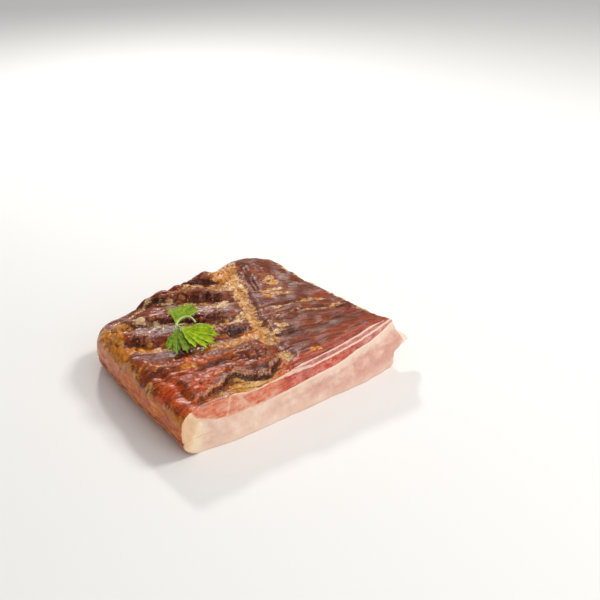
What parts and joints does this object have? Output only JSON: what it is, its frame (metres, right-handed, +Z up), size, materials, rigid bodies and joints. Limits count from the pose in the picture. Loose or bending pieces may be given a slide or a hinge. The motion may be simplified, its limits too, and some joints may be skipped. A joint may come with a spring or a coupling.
{
  "type": "smoked bacon slab",
  "caption": "Slab of smoked streaky bacon with rib-marked, smoke-browned top, one cut face showing fat and lean layers, and a coriander sprig lying on it.",
  "frame": {"origin": "centre of the underside of the part's bounding box, on the surface it rests on", "axes": "+X along the cut face towards the thicker end, +Y from the cut face into the slab, +Z up from the skin side"},
  "size_m": [0.2462, 0.1966, 0.0616],
  "materials": {
    "smoked_bacon": "smoked red-brown meat with tan fat and a moist sheen; the cut face is pink and cream",
    "coriander_leaf": "fresh green leaf, satin"
  },
  "bodies": {
    "root": {"bacon_slab": "smoked_bacon", "coriander_sprig": "coriander_leaf"}
  },
  "joints": []
}
